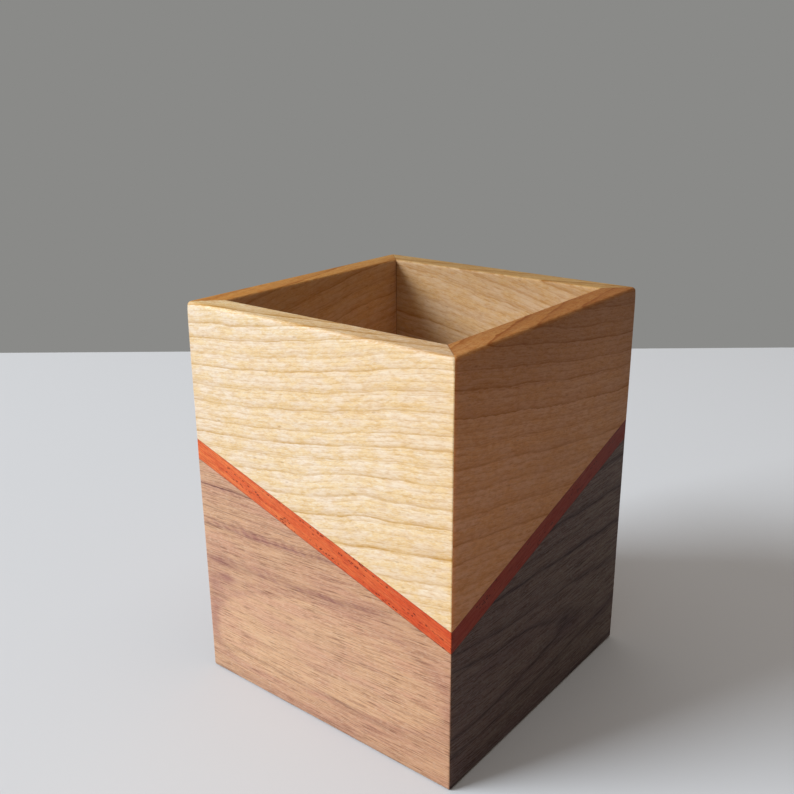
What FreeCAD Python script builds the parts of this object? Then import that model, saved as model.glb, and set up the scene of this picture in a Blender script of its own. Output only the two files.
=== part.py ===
import FreeCAD, Part
import math
import os
import Sketcher

# A square pencil cup: four mitred walls around a base panel, open at the top. It stands on
# z = 0, centred on the Z axis, with its front wall facing -Y.
#
# Each wall is glued up from a cherry board above, a walnut board below, and a padauk strip
# on the slant between them. Neighbouring walls are mirror images of each other, so the strips
# meet at every corner: low at the front right and back left corners, high at the other two.
# The base panel sits loose in a groove that runs round the inside of the walnut boards.

sizes = [
    ("cup_width", 84.0, "outside, across two opposite walls"),
    ("cup_height", 108.0, "from the table to the rim"),
    ("wall", 7.4, "thickness of every wall"),
    ("strip_low", 43.7, "top of the padauk strip at a low corner, outside"),
    ("strip_high", 70.6, "top of the padauk strip at a high corner, outside"),
    ("strip_thickness", 5.4, "padauk strip, square across"),
    ("arris", 0.5, "radius of the four outside corners"),
    ("rim_outer_round", 0.9, "radius of the rim's outer edge"),
    ("rim_inner_round", 0.6, "radius of the rim's inner edge"),
    ("foot_round", 0.8, "radius of the outside edge that stands on the table"),
    ("base_thickness", 5.0, "base panel"),
    ("base_lift", 3.0, "underside of the base panel above the table"),
    ("groove_depth", 3.4, "groove for the base panel, into the wall"),
    ("groove_play", 0.1, "groove height over the panel's thickness"),
    ("panel_room", 0.2, "gap between the panel's edge and the groove, for the wood to move"),
]

# The walls in turn, anticlockwise from the front, each with the heights of its strip at its
# left and right ends as seen from outside.
walls = [
    ("front", "strip_high", "strip_low"),
    ("right", "strip_low", "strip_high"),
    ("back", "strip_high", "strip_low"),
    ("left", "strip_low", "strip_high"),
]


class Length:
    """A length with its number and the sheet expression that drives it."""

    def __init__(self, number, text=None):
        self.number = float(number)
        self.text = text or repr(self.number)

    def __add__(self, other):
        other = as_length(other)
        return Length(self.number + other.number, f"({self.text} + {other.text})")

    def __sub__(self, other):
        other = as_length(other)
        return Length(self.number - other.number, f"({self.text} - {other.text})")

    def __mul__(self, other):
        other = as_length(other)
        return Length(self.number * other.number, f"{self.text} * {other.text}")

    def __truediv__(self, other):
        other = as_length(other)
        return Length(self.number / other.number, f"{self.text} / ({other.text})")

    def __neg__(self):
        return self * -1


def as_length(value):
    return value if isinstance(value, Length) else Length(value)


def hypotenuse(one, other):
    """The long side of the right-angled triangle on two lengths."""
    return Length(math.hypot(one.number, other.number), f"hypot({one.text}; {other.text})")


doc = FreeCAD.newDocument("pencil_cup")
sheet = doc.addObject("Spreadsheet::Sheet", "sizes")
size = {}
for row, (name, value, note) in enumerate(sizes, start=1):
    sheet.set(f"A{row}", name)
    sheet.set(f"B{row}", str(value))
    sheet.set(f"C{row}", note)
    sheet.setAlias(f"B{row}", name)
    size[name] = Length(value, f"sizes.{name}")
doc.recompute()


def plane_of(body, role):
    """One of the body's own origin planes."""
    for feature in body.Origin.OriginFeatures:
        if feature.Role == role:
            return feature
    raise ValueError(role)


def arc_side(start, end, radius, turn):
    """An arc between two points that turns left (1) or right (-1) on the way, under 180 degrees."""
    chord = end - start
    reach = math.sqrt(radius**2 - (chord.Length / 2) ** 2)
    across = FreeCAD.Vector(-chord.y, chord.x, 0).normalize()
    centre = (start + end) / 2 + across * turn * reach
    first, last = (start, end) if turn > 0 else (end, start)
    from_angle = math.atan2(first.y - centre.y, first.x - centre.x)
    to_angle = math.atan2(last.y - centre.y, last.x - centre.x)
    circle = Part.Circle(centre, FreeCAD.Vector(0, 0, 1), radius)
    return Part.ArcOfCircle(circle, from_angle, to_angle)


def draw(body, name, plane, corners, rounds=None):
    """A closed sketch through the corners, which are pairs of lengths.

    Each corner is held by its distances from the origin. Side n runs from corner n to the
    next, and is straight unless rounds gives it a radius and a turn.
    """
    rounds = rounds or {}
    sketch = body.newObject("Sketcher::SketchObject", f"{body.Name}_{name}")
    sketch.AttachmentSupport = (plane_of(body, plane), [""])
    sketch.MapMode = "FlatFace"
    points = [FreeCAD.Vector(across.number, up.number, 0) for across, up in corners]
    ends = []
    for side, start in enumerate(points):
        end = points[(side + 1) % len(points)]
        if side in rounds:
            radius, turn = rounds[side]
            sketch.addGeometry(arc_side(start, end, radius.number, turn), False)
            constraint = sketch.addConstraint(Sketcher.Constraint("Radius", side, radius.number))
            sketch.setExpression(f"Constraints[{constraint}]", radius.text)
            ends.append((1, 2) if turn > 0 else (2, 1))
        else:
            sketch.addGeometry(Part.LineSegment(start, end), False)
            ends.append((1, 2))
    for side, (first, last) in enumerate(ends):
        following = (side + 1) % len(ends)
        sketch.addConstraint(Sketcher.Constraint("Coincident", side, last, following, ends[following][0]))
        for kind, distance in zip(("DistanceX", "DistanceY"), corners[side]):
            constraint = sketch.addConstraint(Sketcher.Constraint(kind, -1, 1, side, first, distance.number))
            sketch.setExpression(f"Constraints[{constraint}]", distance.text)
    return sketch


def pad(body, name, plane, corners, length, rounds=None, symmetric=False):
    """A solid drawn on one of the origin planes and padded square to it."""
    feature = body.newObject("PartDesign::Pad", f"{body.Name}_{name}")
    feature.Profile = draw(body, f"{name}_sketch", plane, corners, rounds)
    feature.SideType = "Symmetric" if symmetric else "One side"
    feature.setExpression("Length", length.text)
    doc.recompute()
    return feature


def saw(body, name, plane, corners, rounds=None):
    """A cut right through the body, both ways from the plane, that has to take wood away."""
    before = body.Shape.Volume
    feature = body.newObject("PartDesign::Pocket", f"{body.Name}_{name}")
    feature.Profile = draw(body, f"{name}_sketch", plane, corners, rounds)
    feature.SideType = "Symmetric"
    feature.Type = "ThroughAll"
    doc.recompute()
    if not body.Shape.Volume < before - 1e-6:
        raise RuntimeError(f"{feature.Name} cut nothing")


width = size["cup_width"]
height = size["cup_height"]
wall = size["wall"]
nothing = Length(0)
overrun = wall  # how far a saw cut runs on past the wood


# Every wall piece is made in the frame of its own wall: X along the wall from its middle, Y
# from the outside face inwards, and Z up from the table.


def moulding(foot_round, rim_rounds, groove):
    """The wall's upright section, as corners and rounds for a sketch on YZ."""
    corners = []
    rounds = {}
    if foot_round:
        corners.append((foot_round, nothing))
    else:
        corners.append((nothing, nothing))
    corners.append((wall, nothing))
    if groove:
        floor = wall - size["groove_depth"]
        ceiling = size["base_lift"] + size["base_thickness"] + size["groove_play"]
        corners.append((wall, size["base_lift"]))
        corners.append((floor, size["base_lift"]))
        corners.append((floor, ceiling))
        corners.append((wall, ceiling))
    if rim_rounds:
        outer_round, inner_round = rim_rounds
        rounds[len(corners)] = (inner_round, 1)
        corners.append((wall, height - inner_round))
        corners.append((wall - inner_round, height))
        rounds[len(corners)] = (outer_round, 1)
        corners.append((outer_round, height))
        corners.append((nothing, height - outer_round))
    else:
        corners.append((wall, height))
        corners.append((nothing, height))
    if foot_round:
        rounds[len(corners)] = (foot_round, 1)
        corners.append((nothing, foot_round))
    return corners, rounds


def slant(left, right, drop):
    """The line of a glued joint, from past the wall's left end to past its right end."""
    fall = (left - right) * overrun / width
    past_left = (-width / 2 - overrun, left + fall - drop)
    past_right = (width / 2 + overrun, right - fall - drop)
    return past_left, past_right


def saw_below(body, left, right, drop):
    """Takes away the wood under a glued joint."""
    past_left, past_right = slant(left, right, drop)
    low_left = (past_left[0], -overrun)
    low_right = (past_right[0], -overrun)
    saw(body, "lower_joint", "XZ_Plane", [low_left, low_right, past_right, past_left])


def saw_above(body, left, right, drop):
    """Takes away the wood over a glued joint."""
    past_left, past_right = slant(left, right, drop)
    high_left = (past_left[0], height + overrun)
    high_right = (past_right[0], height + overrun)
    saw(body, "upper_joint", "XZ_Plane", [past_left, past_right, high_right, high_left])


def mitre(body, name, end):
    """Cuts one end (1 right, -1 left) at 45 degrees and rounds its outside corner."""
    arris = size["arris"]
    tip = arris * (1 - math.sqrt(0.5))  # the rounding's end on the mitre, in from the sharp corner
    past_inside = (width / 2 - wall - overrun, wall + overrun)
    on_mitre = (width / 2 - tip, tip)
    on_face = (width / 2 - arris, nothing)
    below_face = (width / 2 - arris, -overrun)
    outer = (width / 2 + overrun, -overrun)
    inner = (width / 2 + overrun, wall + overrun)
    corners = [(along * end, inward) for along, inward in
               (past_inside, on_mitre, on_face, below_face, outer, inner)]
    saw(body, name, "XY_Plane", corners, rounds={1: (arris, -end)})


def stand(body, turn):
    """Turns the piece to its wall: turn is the number of right angles from the front wall."""
    body.Placement = FreeCAD.Placement(FreeCAD.Vector(), FreeCAD.Rotation(90 * turn, 0, 0))
    outward = FreeCAD.Rotation(90 * turn, 0, 0).multVec(FreeCAD.Vector(0, -1, 0))
    body.setExpression("Placement.Base.x", (width / 2 * round(outward.x)).text)
    body.setExpression("Placement.Base.y", (width / 2 * round(outward.y)).text)


def new_body(label):
    body = doc.addObject("PartDesign::Body", label)
    body.Label = label
    return body


def wall_board(label, turn, foot_round=None, rim_rounds=None, groove=False):
    """A piece of one wall, still as tall as the wall, with square ends."""
    body = new_body(label)
    corners, rounds = moulding(foot_round, rim_rounds, groove)
    pad(body, "plank", "YZ_Plane", corners, width, rounds, symmetric=True)
    stand(body, turn)
    return body


pieces = []
strip_slope = size["strip_high"] - size["strip_low"]
strip_drop = size["strip_thickness"] * hypotenuse(width, strip_slope) / width  # measured upright
rim_rounds = (size["rim_outer_round"], size["rim_inner_round"])

for turn, (side, left_name, right_name) in enumerate(walls):
    left = size[left_name]
    right = size[right_name]

    cherry = wall_board(f"cherry_board_{side}", turn, rim_rounds=rim_rounds)
    saw_below(cherry, left, right, nothing)

    padauk = wall_board(f"padauk_strip_{side}", turn)
    saw_above(padauk, left, right, nothing)
    saw_below(padauk, left, right, strip_drop)

    walnut = wall_board(f"walnut_board_{side}", turn, foot_round=size["foot_round"], groove=True)
    saw_above(walnut, left, right, strip_drop)

    for board in (cherry, padauk, walnut):
        mitre(board, "right_mitre", 1)
        mitre(board, "left_mitre", -1)
        pieces.append(board)

# The base panel reaches into all four grooves and rests on their lower faces.
panel = new_body("base_panel")
reach = width / 2 - wall + size["groove_depth"] - size["panel_room"]
panel_corners = [(-reach, -reach), (reach, -reach), (reach, reach), (-reach, reach)]
pad(panel, "board", "XY_Plane", panel_corners, size["base_thickness"])
panel.setExpression("Placement.Base.z", size["base_lift"].text)
pieces.append(panel)

doc.recompute()

for item in doc.Objects:
    if "Invalid" in item.State or "Error" in item.State:
        raise RuntimeError(f"{item.Label}: {item.State}")
for piece in pieces:
    if piece.Shape.isNull() or not piece.Shape.isValid() or len(piece.Shape.Solids) != 1:
        raise RuntimeError(f"{piece.Label} is not one sound solid")

os.makedirs("parts", exist_ok=True)
for piece in pieces:
    piece.Shape.exportStep(os.path.join("parts", f"{piece.Label}.step"))
    print(f"{piece.Label}: {piece.Shape.Volume / 1000:.2f} cm3")
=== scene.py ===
import math

import bpy
import numpy as np
from mathutils import Euler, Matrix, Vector


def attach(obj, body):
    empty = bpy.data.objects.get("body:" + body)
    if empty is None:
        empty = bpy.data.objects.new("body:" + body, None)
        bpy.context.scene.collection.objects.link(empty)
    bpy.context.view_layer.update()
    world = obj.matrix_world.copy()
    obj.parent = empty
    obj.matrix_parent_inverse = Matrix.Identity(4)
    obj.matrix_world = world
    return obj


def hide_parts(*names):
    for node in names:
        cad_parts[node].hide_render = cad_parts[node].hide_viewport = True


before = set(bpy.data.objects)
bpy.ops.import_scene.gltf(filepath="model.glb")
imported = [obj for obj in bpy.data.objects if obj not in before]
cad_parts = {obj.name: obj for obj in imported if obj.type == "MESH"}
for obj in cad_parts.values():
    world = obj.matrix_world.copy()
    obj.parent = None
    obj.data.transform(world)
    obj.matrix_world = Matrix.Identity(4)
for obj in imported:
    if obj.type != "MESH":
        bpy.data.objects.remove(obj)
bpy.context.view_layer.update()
mm = 0.001

# The cup as it stands on the bench, in mm: the same sizes as the solid model.
cup = {
    "width": 84.0,          # outside, square
    "height": 108.0,
    "wall": 7.4,
    "stripLow": 43.7,       # top of the padauk strip at the low corners
    "stripHigh": 70.6,      # and at the high ones
    "stripThick": 5.4,      # square across the strip
    "grooveLow": 2.9,       # the base panel's groove in the walnut
    "grooveHigh": 8.1,
    "grooveDepth": 3.4,
    "arris": 0.5,           # rounding of the four upright corners
    "arrisSway": 0.08,      # how unevenly the sanding block took them off, in slow waves:
    "arrisWaves": ((1.0, 0.071, 1.9), (0.6, 0.187, 4.1)),   # share, per mm up, per corner
    "tipEasing": 0.8,       # how much more at the rim
    "tipFade": 1.6,         # and over what depth below it
    "rimOuter": 0.9,
    "rimInner": 0.6,
    "footOuter": 0.8,
    "footInner": 0.3,
    "seamDepth": 0.02,      # hairline that opens along a glue joint
    "seamWidth": 0.1,
    "seamRows": (0.35, 0.8),    # rows that keep the face flat beside it
    "station": 0.8,         # spacing of the stations along a wall
    "turnSteps": (0, 0.16, 0.32, 0.48, 0.64, 0.78, 0.9, 1.0),   # and round a corner
    "rows": {"rimOuter": 8, "rimTop": 7, "rimInner": 5, "groove": 3, "lip": 2,
             "footInner": 4, "footUnder": 6, "footOuter": 5},   # of an outline's parts
    "sharpFrom": 30.0,      # degrees; edges that bend less are shaded smooth
    "arrisGlue": 0.2,       # the glue line fades out over a corner's rounding
    "arrisRimShade": 0.05,       # and this share of the rim's colour, partly painted shade, comes in
}
half = cup["width"] / 2
slope = (cup["stripHigh"] - cup["stripLow"]) / cup["width"]
stripRise = cup["stripThick"] * math.hypot(1, slope)   # the strip's height, straight up
print("sizes: the strip leans", round(math.degrees(math.atan(slope)), 1), "degrees")


def stretch(start, end, count, inward):
    # Rows (depth, blend, rise, inwardDepth, inwardRise) on a straight run of an outline:
    # start + (end - start) * s, for s from 0 to 1 in count steps.
    s = np.linspace(0, 1, count + 1)[:, None]
    rows = np.array(start) * (1 - s) + np.array(end) * s
    return np.hstack([rows, np.tile(inward, (count + 1, 1))])


def turn(centre, radius, fromAngle, toAngle, count):
    # Rows on a rounded edge: centre + radius * (cos a, sin a), a swept between two angles,
    # 0 pointing into the wall's depth and 90 degrees up. The end points belong to the runs.
    a = np.radians(np.linspace(fromAngle, toAngle, count + 1))[1:-1]
    depth, blend, rise = centre
    return np.stack([depth + radius * np.cos(a), np.full_like(a, blend),
                     rise + radius * np.sin(a), -np.cos(a), -np.sin(a)], 1)


def boardOutline(lowerSeam, upperSeam, tall):
    # The closed outline of a board cut square across: up the outer face, over the top, down
    # the inner face and back under. Height = lower edge * (1 - blend) + upper edge * blend
    # + rise. A glued side opens in a hairline, a free side is rounded. The faces get tall rows.
    wall, cut, width, count = cup["wall"], cup["seamDepth"], cup["seamWidth"], cup["rows"]
    flat, even = cup["seamRows"]
    inside, outside, down = (-1, 0), (1, 0), (0, -1)
    outer, inner = cup["rimOuter"], cup["rimInner"]
    lowOut = even if lowerSeam else cup["footOuter"]
    topOut = -even if upperSeam else -outer
    topIn = -even if upperSeam else -inner
    rows = []
    if lowerSeam:
        rows += [stretch((cut, 0, 0), (0, 0, width), 1, outside),
                 stretch((0, 0, flat), (0, 0, flat), 0, outside)]
    rows += [stretch((0, 0, lowOut), (0, 1, topOut), tall, outside)]
    if upperSeam:
        rows += [stretch((0, 1, -flat), (0, 1, -flat), 0, outside),
                 stretch((0, 1, -width), (cut, 1, 0), 1, outside),
                 stretch((wall - cut, 1, 0), (wall, 1, -width), 1, inside),
                 stretch((wall, 1, -flat), (wall, 1, -flat), 0, inside)]
    else:
        rows += [turn((outer, 1, -outer), outer, 180, 90, count["rimOuter"]),
                 stretch((outer, 1, 0), (wall - inner, 1, 0), count["rimTop"], down),
                 turn((wall - inner, 1, -inner), inner, 90, 0, count["rimInner"])]
    if lowerSeam:
        rows += [stretch((wall, 1, topIn), (wall, 0, even), tall, inside),
                 stretch((wall, 0, flat), (wall, 0, flat), 0, inside),
                 stretch((wall, 0, width), (wall - cut, 0, 0), 1, inside)]
        return np.vstack(rows)
    low, high, deep = cup["grooveLow"], cup["grooveHigh"], wall - cup["grooveDepth"]
    outer, inner = cup["footOuter"], cup["footInner"]
    rows += [stretch((wall, 1, topIn), (wall, 0, high), tall, inside),
             stretch((deep, 0, high), (deep, 0, low), count["groove"], (0, 0)),
             stretch((wall, 0, low), (wall, 0, inner), count["lip"], inside),
             turn((wall - inner, 0, inner), inner, 0, -90, count["footInner"]),
             stretch((wall - inner, 0, 0), (outer, 0, 0), count["footUnder"], (0, 1)),
             turn((outer, 0, outer), outer, 270, 180, count["footOuter"])]
    return np.vstack(rows)


def cornerRadius(corner, height):
    # Radius of an upright corner at a height: the nominal one, slow waves
    # share * sin(height * perMm + corner * perCorner), and
    # tipEasing * exp(-depth below the rim / tipFade).
    waves = sum(share * np.sin(height * perMm + corner * perCorner)
                for share, perMm, perCorner in cup["arrisWaves"])
    return (cup["arris"] + cup["arrisSway"] * waves
            + cup["tipEasing"] * np.exp((height - cup["height"]) / cup["tipFade"]))


def carryOutline(outline, wallNumber, lower, upper):
    # Carries an outline along a wall from mitre to mitre. Over the last stretch a line at
    # depth d runs straight for min(d, a), then round an arc of radius a - d for 45 degrees,
    # and so ends on the mitre plane x = half - y; a is the radius of that corner. The last
    # array tells how far round the corner each point is, 0 on the face and 1 at the mitre.
    depth, blend, rise, inDepth, inRise = (outline[:, i:i + 1] for i in range(5))
    steps = np.array(cup["turnSteps"])[None, :]

    def heightAt(x, riseHere):
        return lower(x) * (1 - blend) + upper(x) * blend + riseHere

    def endRun(side):
        a = cornerRadius((wallNumber + (side > 0)) % 4, heightAt(side * half, rise))
        pull = np.where(steps == 1, cup["seamDepth"], 0.0)
        d = depth + inDepth * pull
        run, arc = np.minimum(d, a), np.maximum(a - d, 0)
        along = (run + arc * math.pi / 4) * steps
        angle = np.clip((along - run) / np.maximum(arc, 1e-9), 0, math.pi / 4) * (arc > 0)
        x = half - np.maximum(a, d) - run + np.minimum(along, run) + arc * np.sin(angle)
        return x, d + arc * (1 - np.cos(angle)), rise + inRise * pull, angle * 4 / math.pi

    leftX, leftY, leftRise, leftTurned = (part[:, ::-1] for part in endRun(-1))
    rightX, rightY, rightRise, rightTurned = endRun(1)
    s = np.linspace(0, 1, int(cup["width"] / cup["station"]))[None, 1:-1]
    x = np.hstack([-leftX, -leftX[:, -1:] * (1 - s) + rightX[:, :1] * s, rightX])
    y = np.hstack([leftY, depth + 0 * s, rightY])
    turned = np.hstack([leftTurned, 0 * depth + 0 * s, rightTurned])
    return x, y, heightAt(x, np.hstack([leftRise, rise + 0 * s, rightRise])), turned


def addObject(name, data):
    # An object at the origin with the given mesh, lamp or camera, put in the scene.
    thing = bpy.data.objects.new(name, data)
    bpy.context.scene.collection.objects.link(thing)
    return thing


def skinPiece(name, x, y, z, wallNumber, fields):
    # A closed skin over a grid of points: rows go round the outline, columns along the
    # piece, and the two end outlines are capped. Wall n is turned n quarter turns.
    rows, columns = x.shape
    c, s = ((1, 0), (0, 1), (-1, 0), (0, -1))[wallNumber]
    points = np.stack([x * c - y * s, x * s + y * c, z], -1) * mm
    grid = np.arange(rows * columns).reshape(rows, columns)
    above = np.roll(grid, -1, 0)
    quads = np.stack([grid[:, :-1], grid[:, 1:], above[:, 1:], above[:, :-1]], -1)
    loops = np.concatenate([quads.ravel(), grid[:, 0], grid[::-1, -1]])
    starts = np.append(np.arange(quads.size // 4 + 1) * 4, quads.size + rows)
    mesh = bpy.data.meshes.new(name)
    mesh.vertices.add(points.size // 3)
    mesh.vertices.foreach_set("co", points.ravel())
    mesh.loops.add(len(loops))
    mesh.loops.foreach_set("vertex_index", loops)
    mesh.polygons.add(len(starts))
    mesh.polygons.foreach_set("loop_start", starts)
    mesh.update(calc_edges=True)
    mesh.polygons.foreach_set("use_smooth", np.ones(len(starts), bool))
    mesh.set_sharp_from_angle(angle=math.radians(cup["sharpFrom"]))
    for field, values in fields.items():
        vector = values.ndim == 3
        store = mesh.attributes.new(field, "FLOAT_VECTOR" if vector else "FLOAT", "POINT")
        store.data.foreach_set("vector" if vector else "value", values.astype(np.float32).ravel())
    return addObject(name, mesh)


def yearLines(seed, start, spacing, count):
    # Heights that go up by spacing * (0.55 to 1.45), each with a strength
    random = np.random.default_rng(seed)
    heights = start + np.cumsum(spacing * random.uniform(0.55, 1.45, count))
    return list(zip(heights, random.uniform(0.35, 1.0, count)))


# How each board was sawn. Places are in mm on the board seen from outside, x from its middle
# and heights from the table; a spot is (x, height, half length, half height, strength).
#   lines: heights of the growth lines at the middle of the board, each with its strength
#   tilt: lean of the growth lines in degrees, up to the right
#   sway (height, phase), bow, curl and swells, which are spots: what bends them
#   fan: the height where they start to lean and the height where they lean fully
#   fading: the stretch of x over which they weaken
#   grain: lean of the pores in degrees; depthLean: how the rings lean into the thickness
#   axis, pith, taper: in a board sawn near the pith, its height, its depth behind the face,
#     and how much deeper it gets per mm along the board
#   figure: how contrasty the streaks are; calm: spots where they are less so
#   blots: darker spots: the walnut's purple bands and streaks, darkening towards the rim on the
#     right, back and left cherry boards, painted shade along the right walnut board's foot; pale: paler
#     ones
#   heart: the paler oval of a board cut through a bump in the rings
#   tintsAndShade: the colour casts at its left and right ends, on the right wall's boards darkened as
#     painted shade for that side lying in shade; rims: those of its sawn rim and foot, a darker
#     colour that is partly painted shade for the weaker light on the top and on the rounding,
#     on the left wall's cherry board also painted yellow reflected light; edges: painted light
#     and shade within a hair of its left (-1) or right (1) arris, a warm glow or a lightening
#     where light reaches round the corner and a darkening where the arris faces the lamp
cherryBoards = [
    {"tilt": 9.8, "grain": 9.8, "depthLean": 0.9, "sway": (0.59, -0.98), "bow": 0.18,
     "figure": 1.0, "tintsAndShade": ("#FFFFFF", "#FFFBF4"), "rimTintsShadeAndLight": ("#E7D8B6", "#D6CBC1"),
     # painted light and shade: darker at the left arris, which faces the lamp, lighter and warmer at the
     # right, keeping the lit face bright to the corner
     "edges": {-1: (-0.12, -0.15, -0.12), 1: (0.1, 0.02, -0.14)},
     "lines": [(27, .5), (34, .5), (40.5, .6), (46.5, .5), (53.2, 1.2), (60.6, 1.1), (65.2, .7),
               (70.8, .8), (75.2, .6), (78.8, 1.1), (82.1, .6), (87.4, .8), (91.9, .7),
               (97.0, .8), (100.4, .45), (104.4, .9), (108.1, .9), (113, .8), (119, .5),
               (125, .5), (131, .5)],
     "pale": [(-22, 108, 40, 5, .9), (6, 72, 26, 14, .55), (-30, 92, 14, 10, .3)],
     "swells": [(13, 71, 11, 7, 1.3)]},
    {"tilt": -10.6, "grain": -10.6, "depthLean": -0.8, "sway": (0.08, 1.4), "bow": 0.75,
     # painted shade: this board's end colours are darkened for the side that lies in shade
     "curl": 1.3, "figure": 1.2, "tintsAndShade": ("#EEC3AF", "#D8B39E"), "rimTintsShadeAndLight": ("#F6F1C2", "#E4CE93"),
     # painted light: a warm glow along the left arris, where light bleeds round the corner into the shade
     "edges": {-1: (0.42, 0.12, -0.15)},
     "lines": [(30, .5), (38, .5), (46, .4), (52.5, .5), (57.0, .8), (63.4, .6), (69.2, .4),
               (75.0, .7), (80.0, .5), (83.0, .45), (86.0, .9), (92.6, .9), (96.8, .7),
               (101.8, 1.0), (105.5, .6), (109.6, .7), (116, .6), (124, .5), (131, .4)],
     "blots": [(-5, 112, 70, 20, .75), (46, 96, 14, 24, .25), (2, 74, 9, 6, .1)]},
    {"tilt": 10.5, "grain": 10.5, "depthLean": 0.7, "sway": (0.7, 0.6), "bow": -0.3,
     "figure": 1.0, "tintsAndShade": ("#DACBB8", "#DACBB8"), "rimTintsShadeAndLight": ("#EBE3C4", "#EBE3C4"),
     "lines": yearLines(3, 20, 5.6, 20),
     "blots": [(0, 112, 90, 16, .4)]},
    {"tilt": -9.0, "grain": -9.0, "depthLean": -0.9, "sway": (0.6, 2.2), "bow": 0.3,
     # painted light: the rim's colour grows lighter and yellower towards its right end, a painted yellow
     # reflected light
     "figure": 1.0, "tintsAndShade": ("#DAC2AC", "#DCC6B2"), "rimTintsShadeAndLight": ("#EAD9A4", "#FFDC90"),
     "lines": yearLines(4, 21, 5.4, 20),
     "blots": [(0, 112, 90, 14, .4)]},
]
walnutBoards = [
    {"tilt": 3.8, "grain": 0.6, "depthLean": 0.6, "sway": (0.6, -0.65), "curl": 0.9,
     "fan": (10, 36), "fading": (12, 36), "figure": 1.0,
     "tintsAndShade": ("#FFFFFF", "#F4EDE9"), "rimTintsShadeAndLight": ("#E4DEDA", "#E4DEDA"),
     "lines": [(-8, .4), (1.6, .35), (9.2, .5), (15.6, .2), (23, .1), (38.2, .35),
               (49.0, .5), (50.1, .8), (53.5, .4), (57.6, .35), (60.3, 1.1), (67, .4), (75, .6)],
     "calm": [(-14, 24, 26, 10, .35)], "pale": [(2, 22, 34, 13, .3)],
     "blots": [(-36.5, 35.6, 5.0, 1.2, .5), (-33.5, 31.0, 3.0, 1.6, .5), (-38.5, 28.0, 3.5, 4.5, .3),
               (-40.0, 17.0, 2.0, 8.0, .25), (2.0, 22.0, 34.0, 13.0, .07),
               (-36.0, 46.9, 7.0, 0.5, .45), (-22.0, 47.3, 10.0, 0.5, .7), (-9.0, 48.2, 8.0, 0.5, .7),
               (3.0, 49.2, 5.0, 0.4, .4), (-24.0, 48.6, 8.0, 0.4, .4), (-8.0, 49.3, 6.0, 0.35, .3),
               (-31.0, 37.2, 6.0, 0.5, .35), (-17.0, 36.9, 8.0, 0.4, .5), (-5.0, 37.7, 6.0, 0.4, .5),
               (4.5, 38.6, 7.0, 0.45, .6), (14.0, 39.9, 6.0, 0.4, .45), (-20.0, 38.4, 7.0, 0.35, .3),
               (-31.0, 57.9, 6.0, 0.5, .4)],
     "heart": {"x": 0.5, "height": 22.5, "halfLength": 41.0, "halfHeight": 14.0, "lean": 0.2}},
    {"tilt": -1.7, "grain": 1.5, "depthLean": 0.5, "sway": (0.5, 1.0), "bow": 1.2,
     "axis": 21.0, "pith": 13.0, "taper": 0.069, "figure": 2.0,
     # painted shade: this board's end colours are darkened and greyed for the side that lies in shade
     "tintsAndShade": ("#7B7F96", "#848FA6"), "rimTintsShadeAndLight": ("#DCD0C8", "#DCD0C8"),
     # painted light: a warm glow along the left arris, where light bleeds round the corner into the shade
     "edges": {-1: (0.4, 0.22, 0.0)},
     "lines": [(4, .3), (9, .3), (13.8, .6), (17.0, .45), (24.7, .8), (29, .3), (33.5, .7),
               (42, .6), (52, .6)],
     "blots": [(33.0, 13.0, 9.0, 2.5, .5), (14.0, 17.5, 10.0, 3.2, .5), (-22.0, 26.0, 12.0, 2.2, .35),
               # painted shade: the foot darkened along the table, where shade falls
               (0.0, 0.0, 60.0, 4.0, .45)]},
    {"tilt": 2.5, "grain": 1.0, "depthLean": -0.5, "sway": (0.7, 1.9), "figure": 1.3,
     "tintsAndShade": ("#D6D2D2", "#C8C4C8"), "rimTintsShadeAndLight": ("#DCD0C8", "#DCD0C8"),
     "lines": yearLines(5, -12, 7.5, 14), "blots": [(24.0, 24.0, 9.0, 3.0, .3)]},
    {"tilt": 1.2, "grain": -1.5, "depthLean": -0.6, "sway": (0.55, 0.3),
     "axis": 26.0, "pith": 15.0, "taper": -0.06, "figure": 1.4,
     "tintsAndShade": ("#C4C0C4", "#D2CECE"), "rimTintsShadeAndLight": ("#DCD0C8", "#DCD0C8"),
     "lines": yearLines(6, 2, 6.5, 10), "blots": [(-26.0, 30.0, 8.0, 3.0, .35)]},
]
leanOfStrip = math.degrees(math.atan(slope))
padaukStrips = [
    {"tilt": side * (leanOfStrip + offset), "grain": side * leanOfStrip, "depthLean": 0.6,
     "sway": (0.15, offset), "figure": 1.0, "tintsAndShade": tintsAndShade, "rimTintsShadeAndLight": ("#E0C8C8", "#E0C8C8"),
     "pale": pale, "lines": yearLines(seed, 28, 1.9, 40)}
    for side, offset, tintsAndShade, pale, seed in (
        (-1, 1.2, ("#FFFFFF", "#F1D3DF"), [(-22, 60, 26, 40, .9)], 7),
        # painted shade: the right strip's end colours are darkened for the side that lies in shade
        (1, -0.8, ("#B09EDE", "#9780B1"), [], 8),
        (-1, 0.6, ("#DCCCE8", "#E8D8EC"), [], 9),
        (1, 1.5, ("#E8D8EC", "#D8C8E8"), [], 10))
]
panelBoard = {"tilt": 0.0, "grain": 0.0, "depthLean": 0.3, "sway": (0.8, 0.5), "figure": 1.2,
              "axis": 12.0, "pith": 16.0, "taper": 0.05,
              "tintsAndShade": ("#DCD8D8", "#DCD8D8"), "rimTintsShadeAndLight": ("#FFFFFF", "#FFFFFF"),
              "lines": yearLines(11, 8, 6.0, 10)}


def linearColour(hexText):
    # sRGB to linear: c / 12.92 up to 0.04045, and ((c + 0.055) / 1.055) ^ 2.4 above it
    c = np.array([int(hexText[i:i + 2], 16) for i in (1, 3, 5)]) / 255
    return (*np.where(c <= 0.04045, c / 12.92, ((c + 0.055) / 1.055) ** 2.4).tolist(), 1.0)


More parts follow.
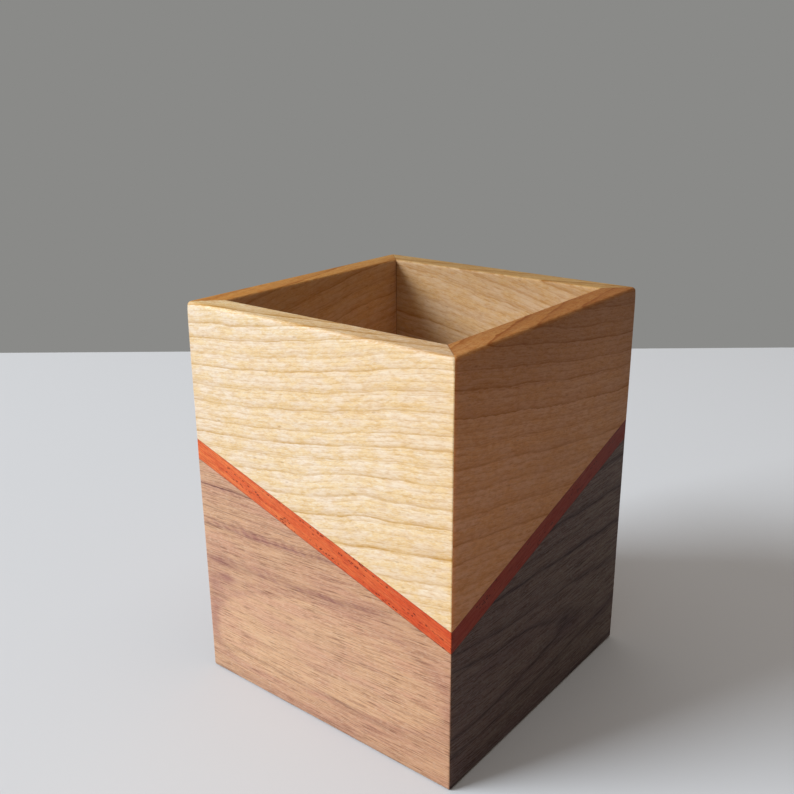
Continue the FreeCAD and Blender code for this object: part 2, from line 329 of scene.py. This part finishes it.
def spots(places, x, z):
    # Sum of soft spots strength * exp(-(dx / rx)^2 - (dz / rz)^2)
    total = np.zeros_like(x)
    for spotX, spotZ, rx, rz, strength in places:
        total += strength * np.exp(-((x - spotX) / rx) ** 2 - ((z - spotZ) / rz) ** 2)
    return total


# The stain round a heart: how square the oval is, how strong the stain is and where it starts
# and is full, in shares of the oval, then the darker line along the oval and its width.
heartEdge = {"power": 2.6, "stain": 0.2, "start": 0.8, "full": 1.3, "line": 0.2, "lineWidth": 0.14}
darkestStain = 0.8      # however many spots lie over one another


def stainsAndShade(board, x, z):
    # The board's blots, among them painted shade along one board's foot, and round a heart, the
    # oval |dx / rx|^power + |dz / rz|^power = 1, an even stain with a darker line along its
    # edge. Left of the middle the oval leans.
    total = spots(board.get("blots", []), x, z)
    if "heart" in board:
        heart, edge = board["heart"], heartEdge
        dx = np.abs(x - heart["x"]) / heart["halfLength"]
        dz = np.abs(z - heart["height"] - heart["lean"] * np.minimum(x, 0)) / heart["halfHeight"]
        oval = dx ** edge["power"] + dz ** edge["power"]
        total += edge["stain"] * np.clip((oval - edge["start"]) / (edge["full"] - edge["start"]), 0, 1)
        total += edge["line"] * np.exp(-((oval - 1) / edge["lineWidth"]) ** 2)
    return np.clip(total, 0, darkestStain)


# What all boards have in common, in mm and shares.
grainHabit = {
    "swayLength": 12.8,             # sway goes as sin(x / this + phase)
    "drift": ((0.16, 0.19, -0.06), (0.09, 0.47, 0.11)),     # slow waves: height, per x, per z
    "fibresFollow": 0.7,            # share of the growth lines' bends that the fibres follow
    "climb": 0.9,                   # how far fibres and pores climb per mm of depth
    "apart": (211.0, 37.0),         # from board to board, along and in depth
    "faded": 0.65,                  # share of a growth line that is lost where they fade
    "sawnFigure": 0.9,              # streaks are this much stronger on the sawn rim and foot
    "arrisLightAndShadeWidth": 0.6,              # over which an arris's painted light and shade fades
    "paleTint": (0.03, 0.10, 0.22),     # what a pale spot adds in red, green and blue
}


def woodFields(board, seed, x, y, z, seam, cut):
    # What the wood materials read at every point of a board:
    # fibre = (along, across, depth) in mm, turned to the grain, with across skewed by the
    #   depth so that pores run on over the rim, and shifted from board to board
    # rings = number of the growth ring, from the height over the line
    #   tan(tilt) x + sway sin(x / swayLength + phase) + bow x^2 / 1000 + curl x^3 / 100000, which a
    #   fan flattens towards the foot and swells lift, or from hypot(that height, depth of the
    #   pith) in a board sawn near the pith
    # vigour = how strongly the nearest growth line shows, less where they fade
    # figure = how strongly the streaks show, more on the sawn rim and less in calm spots
    # tint = the left and the right end's colour, mixed along the board, paler in spots and
    #   changed within a hair of an arris, times the rim's colour where cut is 1, as it is on
    #   the rim and the foot. The end colours are painted shade on the right wall's boards, the
    #   arris changes are painted light and shade, and the rim's colour is partly painted shade
    # seam = distance in mm from a glue joint
    habit = grainHabit
    phase = np.random.default_rng(seed).uniform(0, math.tau, 2)
    lean, grain = math.radians(board["tilt"]), math.radians(board["grain"])
    sway, start = board["sway"]
    run = (math.tan(lean) * x + sway * (np.sin(x / habit["swayLength"] + start) - math.sin(start))
           + board.get("bow", 0) * x ** 2 / 1e3 + board.get("curl", 0) * x ** 3 / 1e5)
    if "fan" in board:
        fanLow, fanHigh = board["fan"]
        run = run * np.clip((z - fanLow) / (fanHigh - fanLow), 0, 1)
    run = run + spots(board.get("swells", []), x, z)
    drift = sum(height * np.sin(x * perX + z * perZ + shift)
                for (height, perX, perZ), shift in zip(habit["drift"], phase))
    across = z - board.get("axis", 0) - run + drift
    growth = across + board["depthLean"] * y
    if "pith" in board:
        growth = np.hypot(across, board["pith"] + board["taper"] * x + board["depthLean"] * y)
    heights, strengths = np.array(board["lines"]).T
    rings = np.interp(growth, heights, np.arange(len(heights)))
    vigour = np.interp(rings, np.arange(len(heights)), strengths)
    if "fading" in board:
        fadeFrom, fadeTo = board["fading"]
        vigour = vigour * (1 - habit["faded"] * np.clip((x - fadeFrom) / (fadeTo - fadeFrom), 0, 1))

    alongApart, depthApart = habit["apart"]
    straight = math.tan(grain) * x
    fibre = np.stack([x * math.cos(grain) + z * math.sin(grain) + alongApart * seed,
                      z - straight - habit["fibresFollow"] * (run - straight) + habit["climb"] * y,
                      y + depthApart * seed], -1)
    cut = cut + 0 * x
    calm = spots(board.get("calm", []), x, z)
    figure = board["figure"] * (1 + habit["sawnFigure"] * cut) * (1 - calm)

    share = np.clip(x / cup["width"] + 0.5, 0, 1)[..., None]
    tint, rim = (left * (1 - share) + right * share for left, right in
                 (np.array([linearColour(end)[:3] for end in board[key]]) for key in ("tintsAndShade", "rimTintsShadeAndLight")))
    pale = spots(board.get("pale", []), x, z)[..., None] * np.array(habit["paleTint"])
    # painted light and shade within a hair of an arris: a warm glow or a lightening where light reaches
    # round the corner, a darkening where the arris faces the lamp
    edge = sum(np.exp((side * x - half) / habit["arrisLightAndShadeWidth"])[..., None] * np.array(change)
               for side, change in board.get("edges", {}).items())
    tint = tint * (1 + pale) * (1 + edge) * (1 - cut[..., None] * (1 - rim))
    return {"fibre": fibre, "rings": rings, "vigour": vigour, "blot": stainsAndShade(board, x, z),
            "seam": seam + 0 * x, "figure": figure, "tint": tint}


def emptyTree(owner):
    # The node tree of a material or a world, switched on and cleared.
    owner.use_nodes = True
    owner.node_tree.nodes.clear()
    return owner.node_tree


def addNode(tree, kind, settings=None, sockets=None, out=0, stops=None):
    # Adds a node with its settings. A socket gets a number, a colour or another's output.
    node = tree.nodes.new(kind)
    for name, value in (settings or {}).items():
        setattr(node, name, value)
    for name, value in (sockets or {}).items():
        if isinstance(value, bpy.types.NodeSocket):
            tree.links.new(value, node.inputs[name])
        else:
            node.inputs[name].default_value = value
    for i, (place, value) in enumerate(stops or []):
        element = node.color_ramp.elements[i] if i < 2 else node.color_ramp.elements.new(place)
        element.position, element.color = place, (value, value, value, 1)
    return node.outputs[out] if len(node.outputs) else node


# Black cherry, planed, sanded fine and oiled: straw to pinkish tan with a soft satin sheen.
# Each year ends in a thin darker line that fades upwards into the next; pale silky flecks
# and pinker patches lie along the grain. Cherry's fibres and pores are about 0.05 mm wide, so
# the finest streaks are drawn six times as wide to show.
cherryFinish = {
    "name": "cherryPlanedOiled",
    "ground": "#F5D8AA", "patch": "#F8E4CB", "line": "#C4944C",
    "lineStops": [(0.0, 1.0), (0.03, 0.95), (0.075, 0.6), (0.13, 0.38), (0.3, 0.2), (0.55, 0.05),
                  (0.75, 0.0), (0.965, 0.0), (0.99, 0.5)],
    "lineStrength": 0.68, "lineFade": (0.3, 0.62, 0.5), "lineBreak": ("fibre", 0.8),
    "subLines": (3.3, 0.36),
    "wobble": 0.12, "ripple": 0.04,
    # noises drawn out along the grain: (along, across, depth) in mm, detail, roughness
    "noises": {
        "wobble": ((14, 3.0, 3.0), 2, 0.5), "ripple": ((3.5, 0.9, 0.9), 2, 0.5),
        "fade": ((11, 2.5, 2.5), 1, 0.5), "patch": ((7, 2.6, 2.6), 3, 0.6),
        "shade": ((2.8, 0.9, 0.9), 2, 0.5), "fleck": ((1.5, 0.5, 0.6), 1, 0.5),
        "fibre": ((1.9, 0.3, 0.3), 2, 0.55), "grit": ((0.9, 0.27, 0.27), 1, 0.5),
    },
    # streaks, laid on in this order: (noise, from, to, strength, colour, crowding)
    "streaks": [("shade", 0.42, 0.66, 0.32, "#DCB078", None), ("fleck", 0.52, 0.70, 0.35, "#FAF0DE", None),
                ("fibre", 0.48, 0.70, 0.30, "#C89C66", None), ("grit", 0.50, 0.70, 0.36, "#FCF4E4", None)],
    "pores": [{"cell": (11, 4.0), "radius": 0.07, "kept": 0.3, "strength": 0.3, "colour": "#9A6A40",
               "crowd": None}],
    "blotTint": "#AF9B70",
    "seamTint": "#8A5A34", "roughness": (0.48, 0.62), "relief": 0.02,
}
# Padauk, planed and oiled: vivid orange-red, with short dark-red pores along the strip and
# faint bands; the coarse pores break the sheen.
padaukFinish = {
    "name": "padaukPlanedOiled",
    "ground": "#E66B38", "patch": "#F08347", "line": "#BE4A2C",
    "lineStops": [(0.0, 1.0), (0.12, 0.7), (0.4, 0.2), (0.7, 0.0), (0.9, 0.1), (1.0, 1.0)],
    "lineStrength": 0.4, "lineFade": (0.3, 0.7, 0.3), "lineBreak": ("fibre", 0.6),
    "subLines": (2.6, 0.2),
    "wobble": 0.5, "ripple": 0.15,
    "noises": {
        "wobble": ((18, 2.0, 2.0), 2, 0.5), "ripple": ((4, 0.7, 0.7), 2, 0.5),
        "fade": ((12, 1.5, 1.5), 1, 0.5), "patch": ((14, 1.6, 1.6), 3, 0.55),
        "shade": ((7.0, 0.8, 0.8), 3, 0.6), "fleck": ((3.0, 0.35, 0.5), 2, 0.5),
        "fibre": ((3.0, 0.3, 0.3), 1, 0.5), "grit": ((0.9, 0.27, 0.27), 1, 0.5),
        "chain": ((9.0, 0.9, 0.9), 1, 0.5),
    },
    "streaks": [("shade", 0.45, 0.7, 0.4, "#C64A28", None), ("fleck", 0.55, 0.72, 0.35, "#F0895A", None),
                ("fibre", 0.45, 0.7, 0.4, "#B94225", None), ("grit", 0.55, 0.72, 0.3, "#F29063", None)],
    "pores": [{"cell": (1.1, 0.55), "radius": 0.44, "kept": 0.95, "strength": 0.85, "colour": "#4A0F0C",
               "crowd": ("chain", 0.58, 0.63)},
              {"cell": (5.0, 0.5), "radius": 0.28, "kept": 0.4, "strength": 0.4, "colour": "#8A2A18",
               "crowd": None}],
    "blotTint": "#886A85",
    "seamTint": "#8C321C", "roughness": (0.48, 0.64), "relief": 0.03,
}
# Black walnut, planed and oiled: tan heartwood with soft purple-brown bands that break up
# into streaks, and open pores that show as fine dark dashes a few millimetres long.
walnutFinish = {
    "name": "walnutPlanedOiled",
    "ground": "#E6BA92", "patch": "#E0AF8F", "line": "#744C44",
    "lineStops": [(0.0, 1.0), (0.02, 0.85), (0.06, 0.45), (0.13, 0.2), (0.25, 0.0), (0.85, 0.0),
                  (0.94, 0.25), (0.985, 0.8)],
    "lineStrength": 0.9, "lineFade": (0.25, 0.65, 0.5), "lineBreak": ("streak", 0.5),
    "subLines": (4.3, 0.14),
    "wobble": 0.12, "ripple": 0.05,
    "noises": {
        "wobble": ((20, 3.0, 3.0), 2, 0.5), "ripple": ((5, 0.8, 0.8), 2, 0.5),
        "fade": ((18, 2.0, 2.0), 1, 0.5), "patch": ((16, 4.0, 4.0), 3, 0.55),
        "shade": ((14, 1.1, 1.1), 2, 0.5), "fleck": ((6, 0.36, 0.5), 1, 0.5),
        "fibre": ((8.0, 0.27, 0.27), 1, 0.5), "streak": ((15.0, 0.27, 0.27), 1, 0.5),
        "grit": ((1.2, 0.26, 0.26), 1, 0.5), "cluster": ((14, 2.2, 2.2), 2, 0.5),
    },
    "streaks": [("shade", 0.42, 0.68, 0.12, "#BA8C74", None), ("fleck", 0.5, 0.7, 0.29, "#EACBAA", None),
                ("fibre", 0.46, 0.66, 0.54, "#A87860", None), ("grit", 0.48, 0.7, 0.42, "#F0D4B6", None),
                ("streak", 0.60, 0.68, 0.54, "#7C5244", ("cluster", 0.42, 0.6))],
    "pores": [{"cell": (8.5, 0.7), "radius": 0.24, "kept": 0.75, "strength": 0.6, "colour": "#85593F",
               "crowd": ("cluster", 0.35, 0.6)},
              {"cell": (3.2, 0.5), "radius": 0.26, "kept": 0.6, "strength": 0.3, "colour": "#976C52",
               "crowd": None}],
    "blotTint": "#B699B8",
    "seamTint": "#7A523E", "roughness": (0.5, 0.66), "relief": 0.035,
}


# What the woods have in common. A range is (from, to) in values of a noise, 0 to 1.
woodCommon = {
    "apart": (7.3, 3.1, 5.7),       # from noise to noise, so that none repeats another
    "lineGain": 1.25,               # a growth line's most, times lineStrength
    "breakRange": (0.38, 0.58),     # where growth lines are broken, and where whole
    "subLineGain": 2.0,
    "crowdLeast": 0.1,              # what is left of a streak or pore outside a crowd
    "poreCore": 0.5,                # share of a pore's radius that is fully dark
    "luckSpan": (1.08, 0.6),        # a cell's luck counts fully at 1.08 - 0.6 * kept
    "patchRange": (0.38, 0.64),
    "glueReach": (0.16, 0.04),      # mm from the joint where its line starts and is full
    "glueStrength": 0.5,
    "roughRange": (0.3, 0.7),
    "poreDepth": -1.5,              # in the relief, against the fibres' 0 to 1
    "ior": 1.5,
    "specular": 0.2,
}


def makeWood(finish):
    # One procedural wood, each coat mixed over the last: ground colours, streaks, growth lines
    # on the ring count, pores and glue lines, then the blots, among them painted shade, and the
    # board's tint, which carries painted shade and painted light.
    common = woodCommon
    material = bpy.data.materials.new(finish["name"])
    tree = emptyTree(material)
    smoothRange = {"interpolation_type": "SMOOTHSTEP"}
    multiply = {"operation": "MULTIPLY", "use_clamp": True}
    fibre = addNode(tree, "ShaderNodeAttribute", {"attribute_name": "fibre"}, out="Vector")
    read = {field: addNode(tree, "ShaderNodeAttribute", {"attribute_name": field}, out="Fac")
            for field in ("rings", "vigour", "blot", "seam", "figure")}
    for i, (name, (size, detail, rough)) in enumerate(finish["noises"].items()):
        placed = addNode(tree, "ShaderNodeMapping", None, {
            "Vector": fibre, "Location": tuple(i * step for step in common["apart"]),
            "Scale": tuple(1 / s for s in size)})
        read[name] = addNode(tree, "ShaderNodeTexNoise", None, {
            "Vector": placed, "Scale": 1.0, "Detail": detail, "Roughness": rough})

    # growth lines: the fraction of a wavering ring count goes through a saw-toothed profile
    rings = read["rings"]
    for name in ("wobble", "ripple"):
        centred = addNode(tree, "ShaderNodeMath", {"operation": "SUBTRACT"}, {0: read[name], 1: 0.5})
        rings = addNode(tree, "ShaderNodeMath", {"operation": "MULTIPLY_ADD"},
                        {0: centred, 1: finish[name] * 2, 2: rings})
    fadeFrom, fadeTo, fadeLow = finish["lineFade"]
    fade = addNode(tree, "ShaderNodeMapRange", smoothRange, {
        "Value": read["fade"], "From Min": fadeFrom, "From Max": fadeTo, "To Min": fadeLow,
        "To Max": finish["lineStrength"] * common["lineGain"]})
    breakNoise, breakLow = finish["lineBreak"]
    breakFrom, breakTo = common["breakRange"]
    broken = addNode(tree, "ShaderNodeMapRange", smoothRange, {
        "Value": read[breakNoise], "From Min": breakFrom, "From Max": breakTo,
        "To Min": breakLow, "To Max": 1.0})
    between, betweenStrength = finish["subLines"]
    marks = []
    for scale, factors in ((between, (read["shade"], betweenStrength * common["subLineGain"])),
                           (1, (fade, broken, read["vigour"], read["figure"]))):
        count = addNode(tree, "ShaderNodeMath", {"operation": "MULTIPLY"}, {0: rings, 1: scale})
        fraction = addNode(tree, "ShaderNodeMath", {"operation": "FRACT"}, {0: count})
        amount = addNode(tree, "ShaderNodeValToRGB", None, {"Fac": fraction}, stops=finish["lineStops"])
        for factor in factors:
            amount = addNode(tree, "ShaderNodeMath", multiply, {0: amount, 1: factor})
        marks.append((amount, finish["line"]))

    def crowded(amount, crowd):
        # the amount where the crowd's noise is high, and little of it elsewhere
        if not crowd:
            return amount
        noise, low, high = crowd
        bunch = addNode(tree, "ShaderNodeMapRange", smoothRange, {
            "Value": read[noise], "From Min": low, "From Max": high, "To Min": common["crowdLeast"]})
        return addNode(tree, "ShaderNodeMath", multiply, {0: amount, 1: bunch})

    streaks = []
    for name, low, high, strength, tint, crowd in finish["streaks"]:
        amount = addNode(tree, "ShaderNodeMapRange", smoothRange, {
            "Value": read[name], "From Min": low, "From Max": high, "To Max": strength})
        amount = addNode(tree, "ShaderNodeMath", multiply, {0: amount, 1: read["figure"]})
        streaks.append((crowded(amount, crowd), tint))

    # pores: dashes at the centres of cells drawn out along the grain. A cell's own random
    # value, its luck, says whether it has one and how dark it is
    dashes = []
    holes = 0.0
    luckTop, luckPerKept = common["luckSpan"]
    for pore in finish["pores"]:
        placed = addNode(tree, "ShaderNodeMapping", None, {
            "Vector": fibre, "Scale": (1 / pore["cell"][0], 1 / pore["cell"][1], 1)})
        cells = {out: addNode(tree, "ShaderNodeTexVoronoi", {"voronoi_dimensions": "2D"}, {
            "Vector": placed, "Scale": 1.0}, out=out) for out in ("Distance", "Color")}
        inside = addNode(tree, "ShaderNodeMapRange", smoothRange, {
            "Value": cells["Distance"], "From Min": pore["radius"],
            "From Max": pore["radius"] * common["poreCore"]})
        luck = addNode(tree, "ShaderNodeSeparateColor", None, {0: cells["Color"]})
        chosen = addNode(tree, "ShaderNodeMapRange", None, {
            "Value": luck, "From Min": 1 - pore["kept"],
            "From Max": luckTop - luckPerKept * pore["kept"], "To Max": pore["strength"]})
        dash = addNode(tree, "ShaderNodeMath", multiply, {0: inside, 1: chosen})
        dash = crowded(dash, pore["crowd"])
        dashes.append((dash, pore["colour"]))
        holes = addNode(tree, "ShaderNodeMath", {"operation": "MAXIMUM"}, {0: holes, 1: dash})

    patchFrom, patchTo = common["patchRange"]
    patch = addNode(tree, "ShaderNodeMapRange", smoothRange, {
        "Value": read["patch"], "From Min": patchFrom, "From Max": patchTo})
    colour = addNode(tree, "ShaderNodeMix", {"data_type": "RGBA"}, {
        0: patch, 6: linearColour(finish["ground"]), 7: linearColour(finish["patch"])}, out=2)
    glueFrom, glueTo = common["glueReach"]
    glue = addNode(tree, "ShaderNodeMapRange", smoothRange, {
        "Value": read["seam"], "From Min": glueFrom, "From Max": glueTo,
        "To Max": common["glueStrength"]})
    for amount, tint in (*streaks, *marks, *dashes, (glue, finish["seamTint"])):
        colour = addNode(tree, "ShaderNodeMix", {"data_type": "RGBA"}, {
            0: amount, 6: colour, 7: linearColour(tint)}, out=2)
    # the board's tint: painted shade on the right wall's boards, painted light and shade at the arrises,
    # and the rim's colour, partly painted shade
    boardTintShadeAndLight = addNode(tree, "ShaderNodeAttribute", {"attribute_name": "tint"}, out="Color")
    for amount, tint in ((read["blot"], linearColour(finish["blotTint"])), (1.0, boardTintShadeAndLight)):
        colour = addNode(tree, "ShaderNodeMix", {"data_type": "RGBA", "blend_type": "MULTIPLY"}, {
            0: amount, 6: colour, 7: tint}, out=2)

    smooth, dull = finish["roughness"]
    roughFrom, roughTo = common["roughRange"]
    roughness = addNode(tree, "ShaderNodeMapRange", None, {
        "Value": read["fibre"], "From Min": roughFrom, "From Max": roughTo,
        "To Min": smooth, "To Max": dull})
    height = addNode(tree, "ShaderNodeMath", {"operation": "MULTIPLY_ADD"},
                     {0: holes, 1: common["poreDepth"], 2: read["fibre"]})
    bump = addNode(tree, "ShaderNodeBump", None, {
        "Height": height, "Strength": 1.0, "Distance": finish["relief"] * mm})
    surface = addNode(tree, "ShaderNodeBsdfPrincipled", None, {
        "Base Color": colour, "Roughness": roughness, "IOR": common["ior"],
        "Specular IOR Level": common["specular"], "Normal": bump})
    addNode(tree, "ShaderNodeOutputMaterial", None, {"Surface": surface})
    return material


woods = {slot: makeWood(finish) for slot, finish in
         (("cherry", cherryFinish), ("padauk", padaukFinish), ("walnut", walnutFinish))}
woods["base_panel"] = woods["walnut"].copy()
woods["base_panel"].name = "walnutPanelOiled"
print("woods:", ", ".join(m.name for m in woods.values()))


def placePiece(piece, node, slot):
    # The piece gets its wood and stands in for its node of the solid model.
    piece.data.materials.append(woods[slot])
    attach(piece, "root")
    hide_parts(node)


# The twelve boards of the walls, in three courses: name, wood, boards, course and rows up the
# face. The strip falls to the right on the front and the back wall, and rises to the right on
# the other two. Every board has a seed of its own, and so has the base panel.
wallNames = ("front", "right", "back", "left")
courses = (("walnut_board", "walnut", walnutBoards, 0, 56),
           ("padauk_strip", "padauk", padaukStrips, 1, 6),
           ("cherry_board", "cherry", cherryBoards, 2, 50))
middleHeight = (cup["stripLow"] + cup["stripHigh"]) / 2
for wallNumber, wallName in enumerate(wallNames):
    fall = -slope if wallNumber % 2 == 0 else slope
    edges = [lambda x: 0 * x, lambda x: middleHeight - stripRise + fall * x,
             lambda x: middleHeight + fall * x, lambda x: cup["height"] + 0 * x]
    for prefix, slot, boards, course, tall in courses:
        lower, upper = edges[course], edges[course + 1]
        outline = boardOutline(course > 0, course < 2, tall)
        x, y, z, turned = carryOutline(outline, wallNumber, lower, upper)
        # distances from the glue joints: first the mitres, then the joints along the strip
        gaps = [(half - y - np.abs(x)) * math.sqrt(0.5) + cup["arrisGlue"] * turned]
        if course > 0:
            gaps.append((z - lower(x)) / math.hypot(1, slope))
        if course < 2:
            gaps.append((upper(x) - z) / math.hypot(1, slope))
        # how much of the rim's colour, partly painted shade, a point takes: all of it on the rim and the
        # foot, a little round the upright corners
        sawn = np.maximum(np.abs(outline[:, 4:5]), cup["arrisRimShade"] * turned)
        fields = woodFields(boards[wallNumber], 1 + wallNumber + 4 * course, x, y, z,
                            np.abs(np.minimum.reduce(gaps)), sawn)
        name = f"{prefix}_{wallName}"
        piece = skinPiece(name + "_wood", x, y - half, z, wallNumber, fields)
        placePiece(piece, name, slot)
    print("wall:", wallName)

# The base panel: a flat board with eased edges, held in the walnut boards' groove.
panel = {"width": 75.6, "low": 3.0, "high": 8.0, "ease": 0.4, "fromJoints": 9.0, "seed": 13,
         "rows": {"edge": 2, "ease": 4, "face": 50}, "stations": 50}


def panelOutline():
    # Up the near edge, along the top, down the far edge and back along the underside. A row's
    # depth is y here, and its rise is z.
    edge, ease, count = panel["width"] / 2, panel["ease"], panel["rows"]
    low, high = panel["low"], panel["high"]
    return np.vstack([
        stretch((-edge, 0, low + ease), (-edge, 0, high - ease), count["edge"], (1, 0)),
        turn((-edge + ease, 0, high - ease), ease, 180, 90, count["ease"]),
        stretch((-edge + ease, 0, high), (edge - ease, 0, high), count["face"], (0, -1)),
        turn((edge - ease, 0, high - ease), ease, 90, 0, count["ease"]),
        stretch((edge, 0, high - ease), (edge, 0, low + ease), count["edge"], (-1, 0)),
        turn((edge - ease, 0, low + ease), ease, 0, -90, count["ease"]),
        stretch((edge - ease, 0, low), (-edge + ease, 0, low), count["face"], (0, 1)),
        turn((-edge + ease, 0, low + ease), ease, 270, 180, count["ease"])])


outline = panelOutline()
angle = np.linspace(0, math.pi / 2, panel["rows"]["ease"] + 1)[None, :]
easing = panel["ease"] * (1 - np.cos(angle))    # how far the outline draws in at each end
endX = panel["width"] / 2 - panel["ease"] * (1 - np.sin(angle))
run = np.linspace(-endX[0, 0], endX[0, 0], panel["stations"])[None, 1:-1]
draw = np.hstack([easing[:, ::-1], 0 * run, easing])
x = np.hstack([-endX[:, ::-1], run, endX]) + 0 * outline[:, :1]
y = outline[:, :1] + outline[:, 3:4] * draw
z = outline[:, 2:3] + outline[:, 4:5] * draw
# the board lies flat, so its figure goes by y where a wall's goes by height
fields = woodFields(panelBoard, panel["seed"], x, z, y, panel["fromJoints"], 0.0)
placePiece(skinPiece("base_panel_wood", x, y, z, 0, fields), "base_panel", "base_panel")
print("base panel")

# The table and the room, in metres and degrees: a pale table top that ends behind the cup, and
# a grey wall beyond it. The light that the table throws back on the cup has a colour of its own.
stage = {"tableNear": 1.6, "tableBehind": 0.324, "tableSide": 1.8, "turn": 38.6,
         "table": "#D0D2D6", "tableBounce": "#88827C", "room": "#8A8A88"}
facing = math.radians(stage["turn"])
sideways = np.array([math.cos(facing), math.sin(facing)])
away = np.array([-math.sin(facing), math.cos(facing)])
corners = [sideways * side * stage["tableSide"] + away * reach for side, reach in
           ((-1, -stage["tableNear"]), (1, -stage["tableNear"]),
            (1, stage["tableBehind"]), (-1, stage["tableBehind"]))]
tableMesh = bpy.data.meshes.new("tableTop")
tableMesh.from_pydata([(float(a), float(b), 0.0) for a, b in corners], [], [(0, 1, 2, 3)])
table = addObject("tableTop", tableMesh)


def seenPlainly(tree):
    # 1 where a ray comes from the camera, off gloss or through glass, and 0 elsewhere
    found = 0.0
    for ray in ("Is Camera Ray", "Is Glossy Ray", "Is Transmission Ray"):
        found = addNode(tree, "ShaderNodeMath", {"operation": "MAXIMUM"}, {
            0: found, 1: addNode(tree, "ShaderNodeLightPath", out=ray)})
    return found


tableMaterial = bpy.data.materials.new("paleTableTop")
tree = emptyTree(tableMaterial)
colour = addNode(tree, "ShaderNodeMix", {"data_type": "RGBA"}, {
    0: seenPlainly(tree), 6: linearColour(stage["tableBounce"]),
    7: linearColour(stage["table"])}, out=2)
surface = addNode(tree, "ShaderNodeBsdfDiffuse", None, {"Color": colour})
addNode(tree, "ShaderNodeOutputMaterial", None, {"Surface": surface})
tableMesh.materials.append(tableMaterial)

# Light, in metres and watts: a soft box from the front left, a dimmer one overhead, and a weak
# warm room. The boxes shine at a point in the cup.
light = {"roomLight": (0.241, 0.197, 0.150), "aimedAt": (0, 0, 0.05),
         "boxes": {"softBox": {"from": (-0.56, -0.67, 0.50), "distance": 4.5, "size": 2.25,
                               "power": 266.0, "colour": (0.93, 0.985, 1.03)},
                   "overhead": {"from": (0.0, 0.0, 1.0), "distance": 0.9, "size": 0.8,
                                "power": 2.2, "colour": (0.95, 1.0, 1.05)}}}
world = bpy.data.worlds.new("room")
bpy.context.scene.world = world
tree = emptyTree(world)
glow = addNode(tree, "ShaderNodeMix", {"data_type": "RGBA"}, {
    0: seenPlainly(tree), 6: (*light["roomLight"], 1.0), 7: linearColour(stage["room"])}, out=2)
background = addNode(tree, "ShaderNodeBackground", None, {"Color": glow, "Strength": 1.0})
addNode(tree, "ShaderNodeOutputWorld", None, {"Surface": background})
for name, box in light["boxes"].items():
    lampData = bpy.data.lights.new(name, "AREA")
    lampData.shape = "SQUARE"
    lampData.size = box["size"]
    lampData.energy = box["power"]
    lampData.color = box["colour"]
    lamp = addObject(name, lampData)
    aim = Vector(box["from"]).normalized()
    lamp.location = Vector(light["aimedAt"]) + aim * box["distance"]
    lamp.rotation_euler = aim.to_track_quat("Z", "Y").to_euler()

# The camera, in mm and degrees.
view = {"place": (147.34, -192.26, 162.10), "turn": (71.186, 0.404, 38.600),
        "lens": 42.824, "sensor": 36.0}
cameraData = bpy.data.cameras.new("camera")
cameraData.lens = view["lens"]
cameraData.sensor_width = view["sensor"]
camera = addObject("camera", cameraData)
camera.location = Vector(view["place"]) * mm
camera.rotation_euler = Euler([math.radians(a) for a in view["turn"]], "XYZ")
bpy.context.scene.camera = camera
bpy.context.scene.view_settings.view_transform = "Standard"
print("stage, light and camera")
